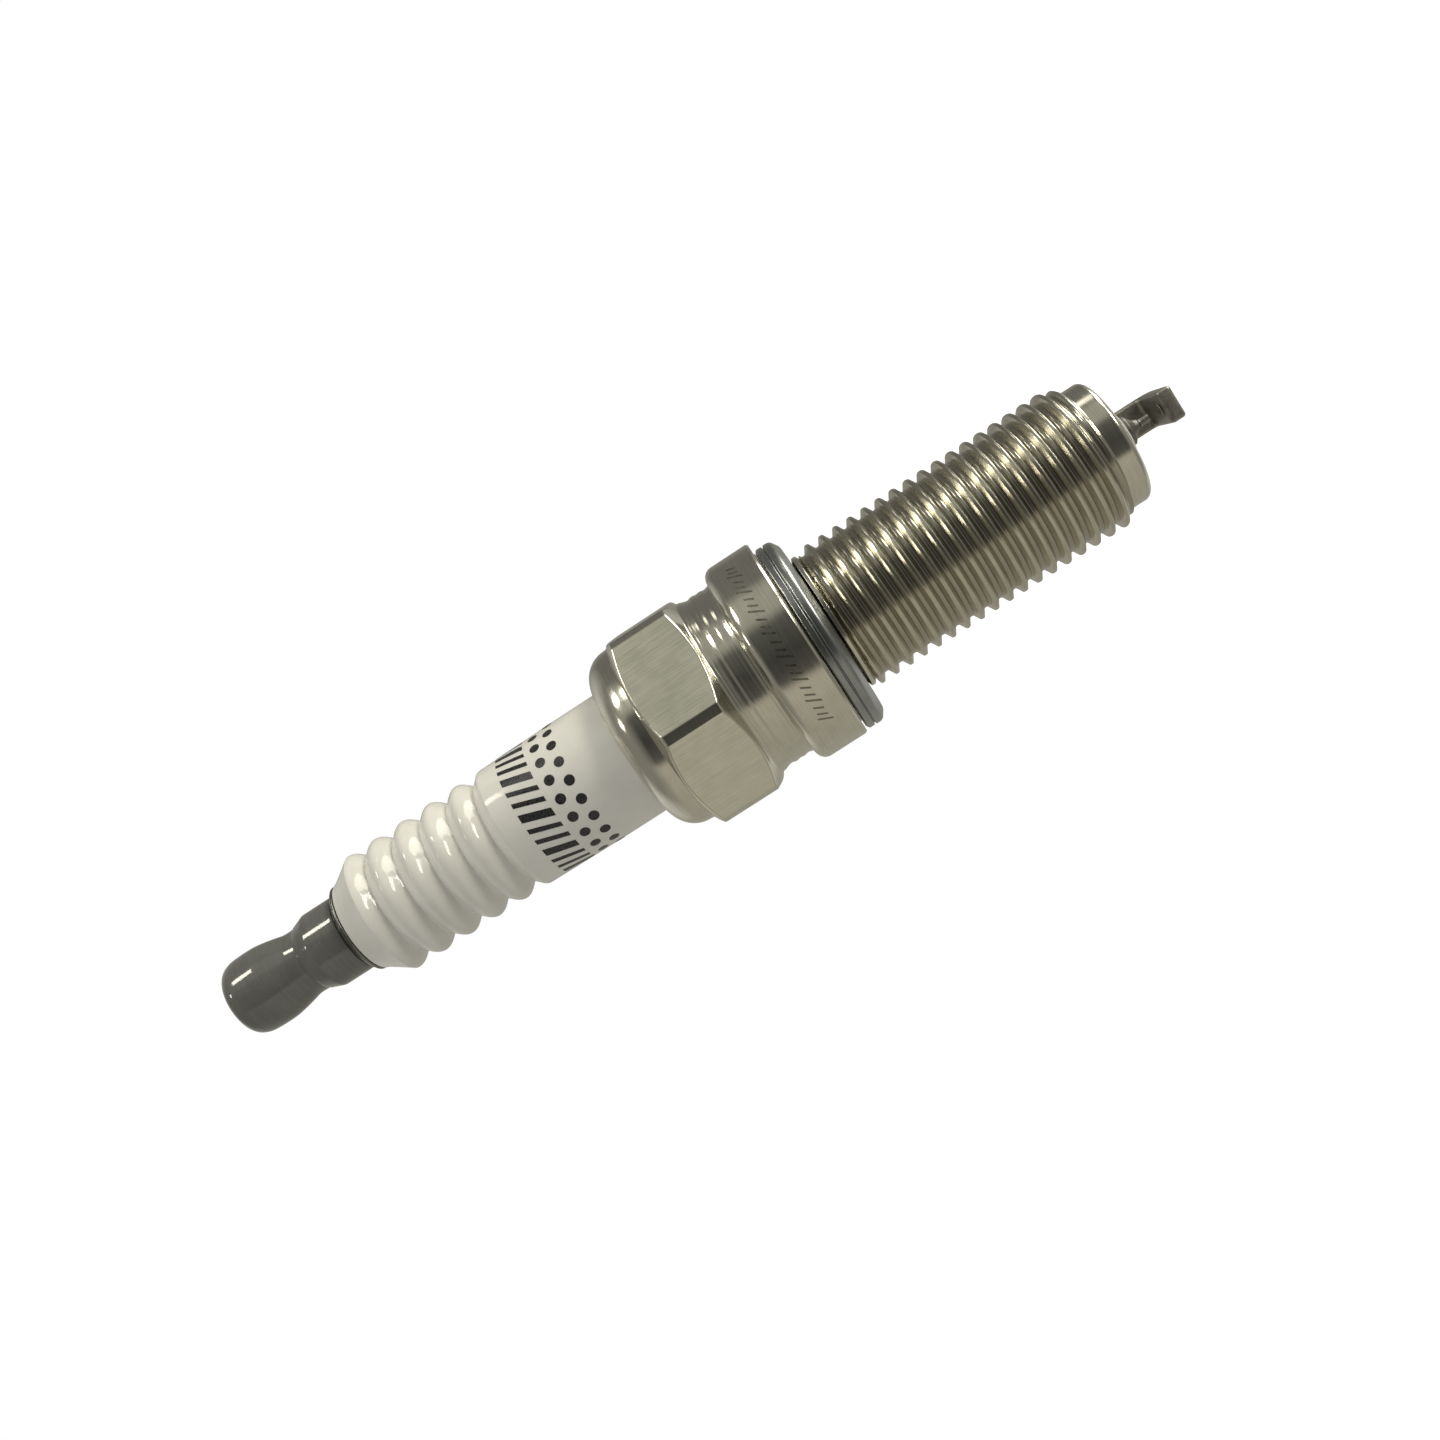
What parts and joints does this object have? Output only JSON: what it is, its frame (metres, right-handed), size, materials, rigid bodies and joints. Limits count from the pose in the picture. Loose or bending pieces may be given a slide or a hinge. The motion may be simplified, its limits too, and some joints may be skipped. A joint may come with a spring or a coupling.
{
  "type": "spark plug",
  "caption": "Long-reach motorcycle spark plug with ribbed glazed insulator, crimped hexagon shell, folded sealing washer, fine-wire tip and screw-on terminal nut.",
  "frame": {"origin": "on the plug's axis, in the sealing face of the gasket", "axes": "+Z along the axis towards the terminal, as the plug stands in a cylinder head; the ground electrode's leg is on the +Y side"},
  "size_m": [0.0168, 0.0176, 0.0845],
  "materials": {
    "shell_plating": "nickel-plated steel, polished on the turned faces and satin on the flats",
    "gasket_steel": "plated sheet steel, satin",
    "insulator_glaze": "clear gloss glaze over white alumina",
    "plain_steel": "turned steel",
    "terminal_finish": "glossy black-oxide terminal",
    "talc": "pressed powder",
    "glass_seal": "copper-glass seal",
    "resistor_body": "carbon-glass resistor",
    "electrode_nickel": "dark nickel alloy, satin",
    "copper": "copper",
    "noble_metal": "bright noble metal"
  },
  "bodies": {
    "plug": {"metal_shell": "shell_plating", "insulator": "insulator_glaze", "upper_packing_ring": "plain_steel", "talc_packing": "talc", "lower_packing_ring": "plain_steel", "seat_packing": "plain_steel", "terminal_stud": "plain_steel", "upper_glass_seal": "glass_seal", "resistor": "resistor_body", "lower_glass_seal": "glass_seal", "centre_electrode": "electrode_nickel", "copper_core": "copper", "iridium_tip": "noble_metal", "ground_electrode": "electrode_nickel", "ground_pad": "noble_metal"},
    "nut": {"terminal_nut": "terminal_finish"},
    "gasket": {"crush_gasket": "gasket_steel"}
  },
  "joints": [
    {"name": "nut_unscrew", "type": "slide", "parent": "plug", "child": "nut", "axis": [0, 0, 1], "range_m": [0, 0.008]},
    {"name": "gasket_spin", "type": "hinge", "parent": "plug", "child": "gasket", "pos_m": [-0.0003, 0, 0.0009], "axis": [0, 0, 1], "continuous": true}
  ]
}
